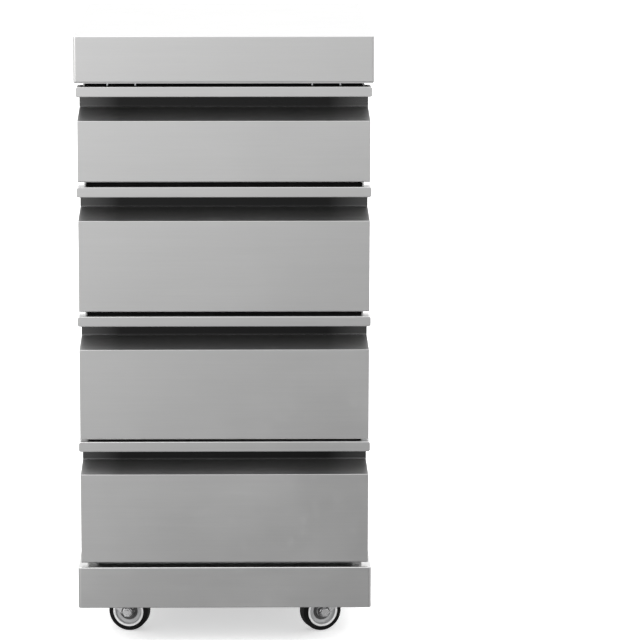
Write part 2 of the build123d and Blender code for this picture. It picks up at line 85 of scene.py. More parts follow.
PARALLEL = 0.999  # dot product above which two directions count as the same
SAME_PLACE = 0.01 * MM  # distance under which two points count as one
WELD = 0.002 * MM  # distance under which points are merged
SLIVER = 0.1 * MM  # length under which an edge belongs to a bend
SMOOTH_ANGLE = 35.0  # degrees between faces up to which a piece is shaded smooth
WHEEL_SMOOTH_ANGLE = 28.0
FLAT_ANGLE = 1.0  # degrees between facets that make one flat face
SHARP_ANGLE = 34.4  # degrees from which an edge is broken
MOUTH_BEND = 0.7  # bend round a pan's mouth, as a share of its other bends
PANEL_END_BEND = 0.6  # rounding of a front's ends, as a share of its sheet
BOX_BEND = 0.8  # bend of a drawer box, as a share of the outer panels' bends
# Slots 1 and 2 carry the recess's painted shade: darker colours that stand for the shade under the
# grip rail.
FRONT_SLOPE, FRONT_WALL = 1, 2  # material slots of a drawer front's recess


# ---- Properties ---------------------------------------------------------------------------
def length(name, description, default):
    """A length property, in metres."""
    return FloatProperty(name=name, description=description, default=default, unit="LENGTH")


def point(name, description, default):
    """A point in space, in metres."""
    return FloatVectorProperty(
        name=name, description=description, default=default, size=3, subtype="TRANSLATION"
    )


def colour(name, description, grey, tint=(1.0, 1.0, 1.0)):
    """A colour property: a grey level with a slight tint."""
    value = [grey * part for part in tint]
    return FloatVectorProperty(
        name=name, description=description, default=value, size=3, subtype="COLOR", min=0, max=1
    )


class CabinetSizes(bpy.types.PropertyGroup):
    """Sizes that a maker may change without touching the frame."""

    sheet: length("Sheet", "Thickness of the folded outer panels", 1.2 * MM)
    box_sheet: length("Box sheet", "Thickness of the drawer boxes", 1.0 * MM)
    corner: length("Corner", "Outer radius of the worktop's and plinth's upright corners", 4 * MM)
    bend: length("Bend", "Outer radius of a sheet bend", 1.8 * MM)
    worktop_hem: length("Worktop hem", "Width of the worktop's inward hem", 8 * MM)
    plinth_hem: length("Plinth hem", "Width of the plinth's inward hem", 10 * MM)
    grip_crease: length("Grip crease", "Depth of the crease under a drawer's upper edge", 33 * MM)
    grip_bottom: length("Grip bottom", "Depth of the slope's foot under the upper edge", 52 * MM)
    foot_bend: length("Foot bend", "Outer radius of the tight bend at the slope's foot", 0.54 * MM)
    grip_wall: length("Grip wall", "Thickness of the metal behind the grip recess", 2 * MM)
    recess_end: length("Recess end", "How far the recess's ends draw in from the panel's", 2.6 * MM)
    rail_corner: length("Rail corner", "Radius of a grip rail's rounded ends", 3.4 * MM)
    rail_bend: length("Rail bend", "Outer radius of the bends round a grip rail's face", 0.9 * MM)
    rail_hem: length("Rail hem", "Width of the hem under a grip rail", 7 * MM)
    box_rim: length("Box rim", "Width of a drawer box's inward rim", 8 * MM)
    box_corner: length("Box corner", "Radius of a drawer box's upright corners", 3 * MM)
    panel_edge: length("Panel edge", "Rounding of side panels' and castor plates' edges", 0.3 * MM)
    broken_edge: length("Broken edge", "Rounding of a cut sheet's deburred edges", 0.25 * MM)
    fine_edge: length("Fine edge", "Rounding of the smallest parts' edges", 0.2 * MM)
    fork_edge: length("Fork edge", "Rounding of a pressed castor fork's edges", 0.5 * MM)
    seal_edge: length("Seal edge", "Rounding of the drawer seals' edges", 0.8 * MM)
    tread_groove: length("Tread groove", "Depth of the grooves round a tyre", 0.8 * MM)
    wheel_half_width: length("Wheel half width", "Half the width of a tyre", 11 * MM)
    wheel_steps: IntProperty(name="Wheel steps", description="Facets round a wheel", default=72)


class CabinetColours(bpy.types.PropertyGroup):
    """Base colours of the finishes."""

    steel: colour("Steel", "Brushed stainless steel", 0.60, (1.0, 1.0, 0.997))
    # Painted shade: the next two colours darken the recess's slope and wall to stand for the shade
    # under the grip rail.
    grip: colour("Grip", "Shaded steel of the slopes in the grip recesses", 0.20)
    grip_wall: colour("Grip wall", "Shaded steel behind the grip rails", 0.022)
    satin: colour("Satin", "Satin steel of the drawer boxes", 0.55, (1.0, 1.0, 0.99))
    zinc: colour("Zinc", "Galvanised carcass and slides", 0.58, (0.98, 1.0, 1.02))
    plate: colour("Plate", "Zinc-plated castors and bolts", 0.66, (1.0, 1.0, 1.01))
    # The seals' own near-black, also used on the face rails as painted shade for the dark gaps
    # between the drawers.
    rubber: colour("Rubber", "Seals", 0.004)
    tyre: colour("Tyre", "Castor tyres", 0.006)
    hub: colour("Hub", "Castor hubs", 0.42, (0.99, 1.0, 1.01))
    # Painted highlight: a lighter ring at the hub's rim stands for light caught on its edge.
    hub_ring: colour("Hub ring", "Bright ring round a castor hub", 0.68)
    shield: colour("Shield", "Dust shields of the wheel bearings", 0.05)


class CabinetStage(bpy.types.PropertyGroup):
    """Camera, floor and light."""

    distance: length("Distance", "Camera in front of the worktop's front edge", 4.8)
    height: length("Height", "Camera above the floor", 1.388)
    aim_height: length("Aim height", "Height at which the camera looks", 0.518)
    aim_side: length("Aim side", "Camera's aim to the right of the middle", 0.048)
    lens: FloatProperty(
        name="Lens", description="Focal length of the camera", default=181.4, unit="CAMERA"
    )
    shift: FloatProperty(
        name="Shift", description="Sideways shift of the view, in picture widths", default=0.10
    )
    key: FloatProperty(
        name="Key", description="Power of the key light", default=34.0, unit="POWER"
    )
    key_size: length("Key size", "Side of the square key light", 2.2)
    key_place: point("Key place", "Middle of the key light", (-1.5, -1.6, 1.8))
    key_aim: point("Key aim", "Point at which the key light looks", (0.0, -0.3, 0.6))
    sky: FloatProperty(name="Sky", description="Strength of the light from above", default=1.65)
    horizon: FloatProperty(
        name="Horizon", description="Strength of the light at eye level", default=1.28
    )
    floor: colour("Floor", "Floor", 0.92)
    floor_lift: FloatProperty(
        name="Floor lift", description="Glow that softens shadows", default=0.5
    )
    floor_half: length("Floor half", "Half the side of the square floor", 60.0)


# ---- Mesh helpers -------------------------------------------------------------------------
def box_mesh(low, high):
    """A bmesh box between two corners."""
    bm = bmesh.new()
    size = high - low
    place = Matrix.Translation((low + high) / 2) @ Matrix.Diagonal((*size, 1.0))
    bmesh.ops.create_cube(bm, size=1.0, matrix=place)
    return bm


def edges_along(bm, axis):
    """The straight edges that run along an axis."""
    found = []
    for edge in bm.edges:
        run = edge.verts[1].co - edge.verts[0].co
        if abs(run.normalized().dot(axis)) > PARALLEL:
            found.append(edge)
    return found


def faces_toward(bm, direction):
    """The faces whose normals point in a direction."""
    bm.normal_update()
    return [face for face in bm.faces if face.normal.dot(direction) > PARALLEL]


def rim_of(bm, direction):
    """The edges round the flat side that faces a direction."""
    faces = set(faces_toward(bm, direction))
    edges = {edge for face in faces for edge in face.edges}
    return [edge for edge in edges if any(face not in faces for face in edge.link_faces)]


def bevel(bm, edges, width, segments):
    """Rounds some edges."""
    bmesh.ops.bevel(
        bm, geom=edges, offset=width, offset_type="OFFSET", segments=segments, profile=0.5,
        affect="EDGES", clamp_overlap=True, material=-1,
    )  # fmt: skip


def pan_mesh(low, high, corner, bend, hem, opening):
    """A folded pan: rounded upright corners, bends all round, and a mitred hem at its opening."""
    bm = box_mesh(low, high)
    mouth = faces_toward(bm, opening)
    bmesh.ops.inset_region(bm, faces=mouth, thickness=hem)
    bmesh.ops.delete(bm, geom=mouth, context="FACES")
    bevel(bm, edges_along(bm, Z), corner, 5)
    bevel(bm, rim_of(bm, -opening), bend, 4)
    bevel(bm, rim_of(bm, opening), bend * MOUTH_BEND, 3)
    return bm


def section_mesh(outline, x0, x1):
    """A closed (y, z) outline drawn out along X."""
    bm = bmesh.new()
    corners = [bm.verts.new((x0, y, z)) for y, z in outline]
    face = bm.faces.new(corners)
    made = bmesh.ops.extrude_face_region(bm, geom=[face])
    moved = [item for item in made["geom"] if isinstance(item, bmesh.types.BMVert)]
    bmesh.ops.translate(bm, verts=moved, vec=(x1 - x0, 0, 0))
    bmesh.ops.recalc_face_normals(bm, faces=bm.faces)
    return bm


def lathe_mesh(outline, steps):
    """A closed (radius, height) outline turned round the Z axis."""
    bm = bmesh.new()
    corners = [bm.verts.new((radius, 0, height)) for radius, height in outline]
    edges = [bm.edges.new(pair) for pair in zip(corners, corners[1:] + corners[:1])]
    bmesh.ops.spin(
        bm, geom=[*corners, *edges], cent=(0, 0, 0), axis=(0, 0, 1), angle=math.tau,
        steps=steps, use_merge=True,
    )  # fmt: skip
    bmesh.ops.remove_doubles(bm, verts=bm.verts, dist=WELD)
    bmesh.ops.recalc_face_normals(bm, faces=bm.faces)
    return bm


def piece_from(bm, name, body, materials, stands_for=(), sheet=0.0, smooth=SMOOTH_ANGLE):
    """Turns a bmesh into a piece that rides on a body. A folded shell is given its sheet."""
    mesh = bpy.data.meshes.new(name)
    bm.to_mesh(mesh)
    bm.free()
    for material in materials:
        mesh.materials.append(material)
    mesh.shade_smooth()
    mesh.set_sharp_from_angle(angle=math.radians(smooth))
    piece = bpy.data.objects.new(name, mesh)
    bpy.context.scene.collection.objects.link(piece)
    if sheet:
        wall = piece.modifiers.new("Sheet", "SOLIDIFY")
        wall.thickness = sheet
        wall.offset = -1.0
        wall.use_even_offset = True
    flats = piece.modifiers.new("Flat faces", "WEIGHTED_NORMAL")
    flats.keep_sharp = True
    flats.weight = 100
    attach(piece, body)
    if stands_for:
        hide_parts(*stands_for)
    return piece


def edged_copy(node, body, finish_name, width, segments=2):
    """A finished copy of a CAD node with its sharp edges broken, as deburred parts have."""
    bm = bmesh.new()
    bm.from_mesh(frame["nodes"][node].data)
    bmesh.ops.remove_doubles(bm, verts=bm.verts, dist=WELD)
    bmesh.ops.dissolve_limit(
        bm, angle_limit=math.radians(FLAT_ANGLE), use_dissolve_boundaries=False,
        verts=bm.verts, edges=bm.edges, delimit={"NORMAL"},
    )  # fmt: skip
    limit = math.radians(SHARP_ANGLE)
    sharp = [edge for edge in bm.edges if edge.is_manifold and edge.calc_face_angle(0) > limit]
    bevel(bm, sharp, width, segments)
    bmesh.ops.triangulate(bm, faces=[face for face in bm.faces if len(face.verts) > 4])
    return piece_from(bm, f"{node}_finished", body, [finish(finish_name)], [node])


# ---- Node groups --------------------------------------------------------------------------
FINE_SHARE, MEDIUM_SHARE, BROAD_SHARE = 0.45, 0.35, 0.20  # of the brushed streaks
MEDIUM_SCALE = 0.3  # scale of the medium streaks, as a share of the fine ones'
PRINT_SCALE = 9.0  # scale of fingerprints, as a multiple of the wiped patches'
CELL_SHARE, FLOW_SHARE = 0.7, 0.3  # of the zinc spangle
# The lightening at a recess's ends is a painted highlight.
ENDS_FROM = 0.70  # share of the half width from which a recess lightens


def new_group(name, inputs, outputs):
    """An empty shader node group with float or vector sockets."""
    group = bpy.data.node_groups.new(name, "ShaderNodeTree")
    for label, kind, default in inputs:
        socket = group.interface.new_socket(label, in_out="INPUT", socket_type=kind)
        if default is not None:
            socket.default_value = default
    for label, kind in outputs:
        group.interface.new_socket(label, in_out="OUTPUT", socket_type=kind)
    return group, group.nodes.new("NodeGroupInput"), group.nodes.new("NodeGroupOutput")


def math_node(tree, operation, first, second, clamp=False):
    """A Math node fed by two sockets or numbers. Gives its output."""
    node = tree.nodes.new("ShaderNodeMath")
    node.operation = operation
    node.use_clamp = clamp
    for socket, value in zip(node.inputs, (first, second)):
        if isinstance(value, bpy.types.NodeSocket):
            tree.links.new(value, socket)
        else:
            socket.default_value = value
    return node.outputs[0]


def noise_node(tree, vector, scale, detail=2.0, roughness=0.5):
    """A Noise Texture on a vector. Gives its factor."""
    node = tree.nodes.new("ShaderNodeTexNoise")
    node.inputs["Detail"].default_value = detail
    node.inputs["Roughness"].default_value = roughness
    if isinstance(scale, bpy.types.NodeSocket):
        tree.links.new(scale, node.inputs["Scale"])
    else:
        node.inputs["Scale"].default_value = scale
    tree.links.new(vector, node.inputs["Vector"])
    return node.outputs["Fac"]


def range_node(tree, value, old, new):
    """A Map Range node from one (low, high) range to another. Gives its result."""
    node = tree.nodes.new("ShaderNodeMapRange")
    for label, number in zip(("From Min", "From Max", "To Min", "To Max"), (*old, *new)):
        node.inputs[label].default_value = number
    tree.links.new(value, node.inputs["Value"])
    return node.outputs["Result"]


def brushed_group():
    """Brushed grain: fine, medium and broad streaks along the stretched axis."""
    group, entry, leave = new_group(
        "Brushed Grain",
        [("Vector", "NodeSocketVector", None), ("Squeeze", "NodeSocketVector", (0.02, 1, 1)),
         ("Fine", "NodeSocketFloat", 1400.0), ("Broad", "NodeSocketFloat", 90.0)],
        [("Streak", "NodeSocketFloat"), ("Height", "NodeSocketFloat")],
    )  # fmt: skip
    squeeze = group.nodes.new("ShaderNodeVectorMath")
    squeeze.operation = "MULTIPLY"
    group.links.new(entry.outputs["Vector"], squeeze.inputs[0])
    group.links.new(entry.outputs["Squeeze"], squeeze.inputs[1])
    along = squeeze.outputs[0]
    fine = noise_node(group, along, entry.outputs["Fine"], detail=3.0, roughness=0.6)
    medium_scale = math_node(group, "MULTIPLY", entry.outputs["Fine"], MEDIUM_SCALE)
    medium = noise_node(group, along, medium_scale)
    broad = noise_node(group, along, entry.outputs["Broad"])
    mixed = math_node(group, "ADD", math_node(group, "MULTIPLY", fine, FINE_SHARE),
                      math_node(group, "MULTIPLY", medium, MEDIUM_SHARE))
    streak = math_node(group, "ADD", mixed, math_node(group, "MULTIPLY", broad, BROAD_SHARE))
    group.links.new(streak, leave.inputs["Streak"])
    group.links.new(mixed, leave.inputs["Height"])
    return group


def handling_group():
    """Handling marks: soft wiped patches and faint fingerprints, from 0 to 1."""
    group, entry, leave = new_group(
        "Handling Marks",
        [("Vector", "NodeSocketVector", None), ("Scale", "NodeSocketFloat", 7.0)],
        [("Mark", "NodeSocketFloat")],
    )
    place, scale = entry.outputs["Vector"], entry.outputs["Scale"]
    patches = noise_node(group, place, scale, detail=4.0, roughness=0.55)
    wiped = range_node(group, patches, (0.42, 0.70), (0.0, 1.0))
    specks = noise_node(group, place, math_node(group, "MULTIPLY", scale, PRINT_SCALE))
    prints = range_node(group, specks, (0.60, 0.75), (0.0, 0.5))
    group.links.new(math_node(group, "ADD", wiped, prints, clamp=True), leave.inputs["Mark"])
    return group


def spangle_group():
    """Zinc spangle: crystal cells of slightly different brightness, from 0 to 1."""
    group, entry, leave = new_group(
        "Zinc Spangle",
        [("Vector", "NodeSocketVector", None), ("Scale", "NodeSocketFloat", 110.0)],
        [("Cell", "NodeSocketFloat")],
    )
    cells = group.nodes.new("ShaderNodeTexVoronoi")
    cells.feature = "F1"
    group.links.new(entry.outputs["Vector"], cells.inputs["Vector"])
    group.links.new(entry.outputs["Scale"], cells.inputs["Scale"])
    split = group.nodes.new("ShaderNodeSeparateColor")
    group.links.new(cells.outputs["Color"], split.inputs["Color"])
    flow = noise_node(group, entry.outputs["Vector"], entry.outputs["Scale"])
    cell = math_node(group, "ADD", math_node(group, "MULTIPLY", split.outputs[0], CELL_SHARE),
                     math_node(group, "MULTIPLY", flow, FLOW_SHARE))
    group.links.new(cell, leave.inputs["Cell"])
    return group


def moulded_group():
    """Moulded surface: fine pebbling and dusty patches."""
    group, entry, leave = new_group(
        "Moulded Surface",
        [("Vector", "NodeSocketVector", None), ("Pebble", "NodeSocketFloat", 900.0),
         ("Dust", "NodeSocketFloat", 40.0)],
        [("Pebbles", "NodeSocketFloat"), ("Dust", "NodeSocketFloat")],
    )  # fmt: skip
    place = entry.outputs["Vector"]
    pebbles = noise_node(group, place, entry.outputs["Pebble"])
    dust = noise_node(group, place, entry.outputs["Dust"], detail=5.0, roughness=0.65)
    group.links.new(pebbles, leave.inputs["Pebbles"])
    dusty = range_node(group, dust, (0.45, 0.75), (0.0, 1.0))
    group.links.new(dusty, leave.inputs["Dust"])
    return group


def painted_end_highlight_group():
    """Painted highlight: a tone that lightens towards both ends of the cabinet's width, standing
    for light caught at the recess's ends.
    """
    group, entry, leave = new_group(
        "Polished Ends",
        [("Vector", "NodeSocketVector", None), ("Tone", "NodeSocketColor", None),
         ("Gain", "NodeSocketFloat", 2.0)],
        [("Tone", "NodeSocketColor")],
    )  # fmt: skip
    split = group.nodes.new("ShaderNodeSeparateXYZ")
    group.links.new(entry.outputs["Vector"], split.inputs[0])
    off_middle = math_node(group, "ABSOLUTE", split.outputs["X"], 0.0)
    half = CAD_BOX[1].x
    ends = range_node(group, off_middle, (half * ENDS_FROM, half), (0.0, 1.0))
    rise = math_node(group, "SUBTRACT", entry.outputs["Gain"], 1.0)
    level = math_node(group, "ADD", math_node(group, "MULTIPLY", ends, rise), 1.0)
    lighten = group.nodes.new("ShaderNodeVectorMath")
    lighten.operation = "SCALE"
    group.links.new(entry.outputs["Tone"], lighten.inputs[0])
    group.links.new(level, lighten.inputs["Scale"])
    group.links.new(lighten.outputs[0], leave.inputs["Tone"])
    return group


def shared_group(name, build):
    """A node group, built the first time that it is asked for."""
    return bpy.data.node_groups.get(name) or build()


# ---- Materials ----------------------------------------------------------------------------
GRAIN_STRETCH = 0.015  # scale of brushed grain along its run, as a share of the scale across it
ROUGHER_DUST = 0.15  # roughness that dust adds
ROUGHER_ZINC = 0.06  # half the difference in roughness between zinc cells
ROUGHER_HANDLED = 0.08  # roughness that handling adds to zinc
PATCHES_ON_STEEL, PATCHES_ON_ZINC = 6.0, 18.0  # scales of the wiped patches


def new_material(name, metallic):
    """A material with a Principled BSDF. Gives the material, tree, shader and coordinates."""
    material = bpy.data.materials.new(name)
    material.use_nodes = True
    tree = material.node_tree
    shader = next(node for node in tree.nodes if node.type == "BSDF_PRINCIPLED")
    shader.inputs["Metallic"].default_value = metallic
    place = tree.nodes.new("ShaderNodeTexCoord").outputs["Object"]
    return material, tree, shader, place


def add_group(tree, group, place, **values):
    """Puts a node group into a material, on the object's coordinates."""
    node = tree.nodes.new("ShaderNodeGroup")
    node.node_tree = group
    tree.links.new(place, node.inputs["Vector"])
    for label, value in values.items():
        node.inputs[label].default_value = value
    return node


def shade_between(tree, factor, base, dark, light):
    """A colour that runs from base * dark to base * light with a factor."""
    mix = tree.nodes.new("ShaderNodeMix")
    mix.data_type = "RGBA"
    tree.links.new(factor, mix.inputs["Factor"])
    mix.inputs["A"].default_value = (*[min(1.0, part * dark) for part in base], 1.0)
    mix.inputs["B"].default_value = (*[min(1.0, part * light) for part in base], 1.0)
    return mix.outputs["Result"]


def set_bump(tree, shader, height, distance, strength):
    """Feeds a height into the shader's normal."""
    bump = tree.nodes.new("ShaderNodeBump")
    bump.inputs["Strength"].default_value = strength
    bump.inputs["Distance"].default_value = distance
    tree.links.new(height, bump.inputs["Height"])
    tree.links.new(bump.outputs["Normal"], shader.inputs["Normal"])


def brushed_material(name, base, along, roughness=0.30, spread=0.10, contrast=0.06, ends=None):
    """Brushed steel whose grain runs along an axis. A given ends lightens the colour towards both
    ends of the width, as a painted highlight.
    """
    material, tree, shader, place = new_material(name, 1.0)
    squeeze = [GRAIN_STRETCH if part else 1.0 for part in along]
    grain = add_group(tree, shared_group("Brushed Grain", brushed_group), place, Squeeze=squeeze)
    handling = shared_group("Handling Marks", handling_group)
    marks = add_group(tree, handling, place, Scale=PATCHES_ON_STEEL)
    tone = shade_between(tree, grain.outputs["Streak"], base, 1.0 - contrast, 1.0 + contrast)
    # Painted highlight: the colour lightens towards both ends of the width.
    if ends:
        group = shared_group("Polished Ends", painted_end_highlight_group)
        end_highlight = add_group(tree, group, place, Gain=ends)
        tree.links.new(tone, end_highlight.inputs["Tone"])
        tone = end_highlight.outputs["Tone"]
    tree.links.new(tone, shader.inputs["Base Color"])
    worn = math_node(tree, "MULTIPLY", marks.outputs["Mark"], spread / 2)
    streaks = math_node(tree, "MULTIPLY", grain.outputs["Streak"], spread)
    rough = math_node(tree, "ADD", math_node(tree, "ADD", streaks, worn), roughness - spread / 2)
    tree.links.new(rough, shader.inputs["Roughness"])
    set_bump(tree, shader, grain.outputs["Height"], distance=0.02 * MM, strength=0.6)
    return material


def zinc_material(name, base, scale=110.0, roughness=0.38, contrast=0.16, depth=0.03 * MM):
    """Galvanised or plated steel with a spangle."""
    material, tree, shader, place = new_material(name, 1.0)
    spangle = add_group(tree, shared_group("Zinc Spangle", spangle_group), place, Scale=scale)
    handling = shared_group("Handling Marks", handling_group)
    marks = add_group(tree, handling, place, Scale=PATCHES_ON_ZINC)
    tone = shade_between(tree, spangle.outputs["Cell"], base, 1.0 - contrast, 1.0 + contrast)
    tree.links.new(tone, shader.inputs["Base Color"])
    cell_range = (roughness - ROUGHER_ZINC, roughness + ROUGHER_ZINC)
    rough = range_node(tree, spangle.outputs["Cell"], (0.0, 1.0), cell_range)
    worn = math_node(tree, "MULTIPLY", marks.outputs["Mark"], ROUGHER_HANDLED)
    tree.links.new(math_node(tree, "ADD", rough, worn), shader.inputs["Roughness"])
    set_bump(tree, shader, spangle.outputs["Cell"], depth, strength=0.4)
    return material


def moulded_material(name, base, roughness, dusty, pebble=900.0, depth=0.04 * MM, gloss=0.5):
    """Rubber, plastic, or the near-black painted shade on the face rails, pebbled, with its colour
    times dusty where dust lies.
    """
    material, tree, shader, place = new_material(name, 0.0)
    shader.inputs["Specular IOR Level"].default_value = gloss
    skin = add_group(tree, shared_group("Moulded Surface", moulded_group), place, Pebble=pebble)
    tone = shade_between(tree, skin.outputs["Dust"], base, 1.0, dusty)
    tree.links.new(tone, shader.inputs["Base Color"])
    dusty_range = (roughness, roughness + ROUGHER_DUST)
    rough = range_node(tree, skin.outputs["Dust"], (0.0, 1.0), dusty_range)
    tree.links.new(rough, shader.inputs["Roughness"])
    set_bump(tree, shader, skin.outputs["Pebbles"], depth, strength=0.7)
    return material


FINISHES = {
    "steel_across": (brushed_material, "steel", {"along": X}),
    "steel_front_to_back": (brushed_material, "steel", {"along": Y}),
    "steel_upright": (brushed_material, "steel", {"along": Z}),
    # The grip recess's slope: painted shade, lightened towards its ends by a painted highlight.
    "grip_steel": (
        brushed_material, "grip", {"along": X, "spread": 0.12, "contrast": 0.14, "ends": 1.8}
    ),
    # The recess wall behind the grip rail: painted shade, lightened towards its ends by a painted
    # highlight.
    "grip_wall_steel": (
        brushed_material, "grip_wall",
        {"along": X, "roughness": 0.24, "contrast": 0.14, "ends": 5.0},
    ),
    "satin_steel": (
        brushed_material, "satin", {"along": Y, "roughness": 0.42, "contrast": 0.05}
    ),
    "galvanised": (zinc_material, "zinc", {}),
    "slide_zinc": (
        zinc_material, "zinc",
        {"scale": 500.0, "roughness": 0.30, "contrast": 0.05, "depth": 0.004 * MM},
    ),
    "castor_zinc": (
        zinc_material, "plate",
        {"scale": 700.0, "roughness": 0.26, "contrast": 0.04, "depth": 0.002 * MM},
    ),
    "bolt_zinc": (
        zinc_material, "plate",
        {"scale": 900.0, "roughness": 0.22, "contrast": 0.03, "depth": 0.001 * MM},
    ),
    # Painted shade: the face rails are near-black so that the gaps between the drawers look dark.
    "rail_black": (
        moulded_material, "rubber",
        {"roughness": 0.60, "dusty": 1.5, "pebble": 500.0, "gloss": 0.05},
    ),
    "seal_rubber": (
        moulded_material, "rubber", {"roughness": 0.75, "dusty": 1.8, "gloss": 0.0}
    ),
    "tyre_rubber": (
        moulded_material, "tyre",
        {"roughness": 0.50, "dusty": 2.2, "pebble": 700.0, "gloss": 0.08},
    ),
    "hub_plastic": (
        moulded_material, "hub",
        {"roughness": 0.36, "dusty": 0.86, "pebble": 1500.0, "depth": 0.01 * MM},
    ),
    # Painted highlight on the hub's rim.
    "hub_ring": (
        moulded_material, "hub_ring",
        {"roughness": 0.25, "dusty": 0.92, "pebble": 1500.0, "depth": 0.01 * MM},
    ),
    "shield": (moulded_material, "shield", {"roughness": 0.45, "dusty": 1.5}),
}  # fmt: skip


def finish(name):
    """A named finish, made the first time that it is asked for."""
    label = f"finish_{name}"
    made = bpy.data.materials.get(label)
    if made:
        return made
    maker, tone, values = FINISHES[name]
    return maker(label, getattr(bpy.context.scene.cabinet_colours, tone), **values)


def dress(node, name):
    """Gives a CAD node a finish."""
    slots = frame["nodes"][node].data.materials
    slots.clear()
    slots.append(finish(name))


# ---- Operators: carcass -------------------------------------------------------------------
def grain_by_side(piece):
    """Turns the grain on a pan's sides: across on the front and back, front to back elsewhere."""
    for face in piece.data.polygons:
        sideways = abs(face.normal.x) > max(abs(face.normal.y), abs(face.normal.z))
        face.material_index = 1 if sideways else 0


def build_pan(node, hem):
    """The worktop's or plinth's pan, open below, which stands for its CAD node."""
    sizes = bpy.context.scene.cabinet_sizes
    bm = pan_mesh(*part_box(node), sizes.corner, sizes.bend, hem, -Z)
    finishes = [finish("steel_across"), finish("steel_front_to_back")]
    grain_by_side(
        piece_from(bm, f"{node}_pan", "cabinet", finishes, [node], sizes.sheet)
    )


class CABINET_OT_worktop(bpy.types.Operator):
    """Fold the worktop from one sheet, with its skirt and hem"""

    bl_idname = "cabinet.worktop"
    bl_label = "Worktop"

    def execute(self, context):
        build_pan("worktop", context.scene.cabinet_sizes.worktop_hem)
        dress("worktop_edge_bar", "steel_across")
        return {"FINISHED"}


class CABINET_OT_plinth(bpy.types.Operator):
    """Fold the plinth from one sheet, with its hem"""

    bl_idname = "cabinet.plinth"
    bl_label = "Plinth"

    def execute(self, context):
        build_pan("plinth", context.scene.cabinet_sizes.plinth_hem)
        return {"FINISHED"}


class CABINET_OT_carcass(bpy.types.Operator):
    """Finish the carcass sheets: the sides, back, floor, rails, channels and castor beams"""

    bl_idname = "cabinet.carcass"
    bl_label = "Carcass"

    def execute(self, context):
        sizes = context.scene.cabinet_sizes
        for node in ("side_panel_left", "side_panel_right"):
            edged_copy(node, "cabinet", "steel_upright", sizes.panel_edge)
        edged_copy("back_panel", "cabinet", "steel_upright", sizes.fine_edge)
        for node in ("floor_panel", "worktop_channels", "castor_beams"):
            edged_copy(node, "cabinet", "galvanised", sizes.broken_edge)
        # Painted shade: the face rails are coloured near-black to darken the gaps between the
        # drawers.
        edged_copy("face_rails", "cabinet", "rail_black", sizes.broken_edge)
        return {"FINISHED"}


class CABINET_OT_slides(bpy.types.Operator):
    """Finish the telescopic slides"""

    bl_idname = "cabinet.slides"
    bl_label = "Slides"

    def execute(self, context):
        for number in DRAWERS:
            for member in ("outer", "middle", "inner"):
                dress(f"slide_{member}_{number}", "slide_zinc")
        return {"FINISHED"}


class CABINET_OT_fasteners(bpy.types.Operator):
    """Finish the castor bolts and the back panel's screws"""

    bl_idname = "cabinet.fasteners"
    bl_label = "Fasteners"

    def execute(self, context):
        fine = context.scene.cabinet_sizes.fine_edge
        edged_copy("fasteners", "cabinet", "bolt_zinc", fine)
        return {"FINISHED"}


# ---- Operators: drawers -------------------------------------------------------------------
def front_panel_mesh(number, sizes):
    """One sheet: lower return, face, slope, recess wall and top return, open to the back."""
    low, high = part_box(f"front_panel_{number}")
    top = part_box(f"grip_rail_{number}")[1].z
    wall = high.y - sizes.grip_wall
    crease, foot = top - sizes.grip_crease, top - sizes.grip_bottom
    outline = [
        (high.y, low.z), (low.y, low.z), (low.y, foot), (wall, crease), (wall, high.z),
        (high.y, high.z),
    ]  # fmt: skip
    bm = section_mesh(outline, low.x, high.x)
    # The slope and wall faces take the recess's painted shade.
    for face in bm.faces:
        middle = face.calc_center_median()
        on_end = abs(face.normal.dot(X)) > PARALLEL
        if middle.z > foot and not on_end:
            face.material_index = FRONT_WALL if middle.z > crease + SLIVER else FRONT_SLOPE
    for depth, height, width in ((low.y, low.z, sizes.bend), (low.y, foot, sizes.foot_bend),
                                 (wall, crease, sizes.bend)):
        bends = [
            edge for edge in edges_along(bm, X)
            if (edge.verts[0].co.yz - Vector((depth, height))).length < SAME_PLACE
        ]  # fmt: skip
        bevel(bm, bends, width, 4)
    ends = [
        edge for edge in rim_of(bm, X) + rim_of(bm, -X)
        if edge.calc_length() > SLIVER and max(v.co.y for v in edge.verts) < high.y - SLIVER
    ]  # fmt: skip
    bevel(bm, ends, sizes.sheet * PANEL_END_BEND, 3)
    bmesh.ops.delete(bm, geom=faces_toward(bm, Y), context="FACES")
    draw_in_ends(bm, foot, crease, sizes.recess_end)
    return bm


def draw_in_ends(bm, foot, crease, step):
    """Slants both ends of a drawer's front inwards from the slope's foot up to the crease."""
    for height in (foot, crease):
        bmesh.ops.bisect_plane(
            bm, geom=[*bm.verts, *bm.edges, *bm.faces], plane_co=(0, 0, height), plane_no=Z,
            dist=WELD,
        )  # fmt: skip
    for vert in bm.verts:
        share = min(1.0, max(0.0, (vert.co.z - foot) / (crease - foot)))
        vert.co.x -= math.copysign(step * share, vert.co.x)


def front_liner_mesh(number, sizes):
    """The flat back of a drawer's front, with its edges broken."""
    bm = box_mesh(*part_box(f"front_liner_{number}"))
    bevel(bm, list(bm.edges), sizes.fine_edge, 2)
    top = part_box(f"grip_rail_{number}")[1].z
    draw_in_ends(bm, top - sizes.grip_bottom, top - sizes.grip_crease, sizes.recess_end)
    return bm


def grip_rail_mesh(number, sizes):
    """Folded rail with rounded ends, open below and behind, with a hem under its face."""
    low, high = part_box(f"grip_rail_{number}")
    bm = box_mesh(low, high)
    bevel(bm, edges_along(bm, Y), sizes.rail_corner, 6)
    bevel(bm, rim_of(bm, -Y), sizes.rail_bend, 4)
    bmesh.ops.delete(bm, geom=faces_toward(bm, Y), context="FACES")
    under = faces_toward(bm, -Z)
    edges = {edge for face in under for edge in face.edges}
    corners = {vert for face in under for vert in face.verts}
    cut = low.y + sizes.rail_hem
    bmesh.ops.bisect_plane(
        bm, geom=[*under, *edges, *corners], plane_co=(0, cut, 0), plane_no=Y
    )
    behind = [face for face in faces_toward(bm, -Z) if face.calc_center_median().y > cut]
    bmesh.ops.delete(bm, geom=behind, context="FACES")
    return bm


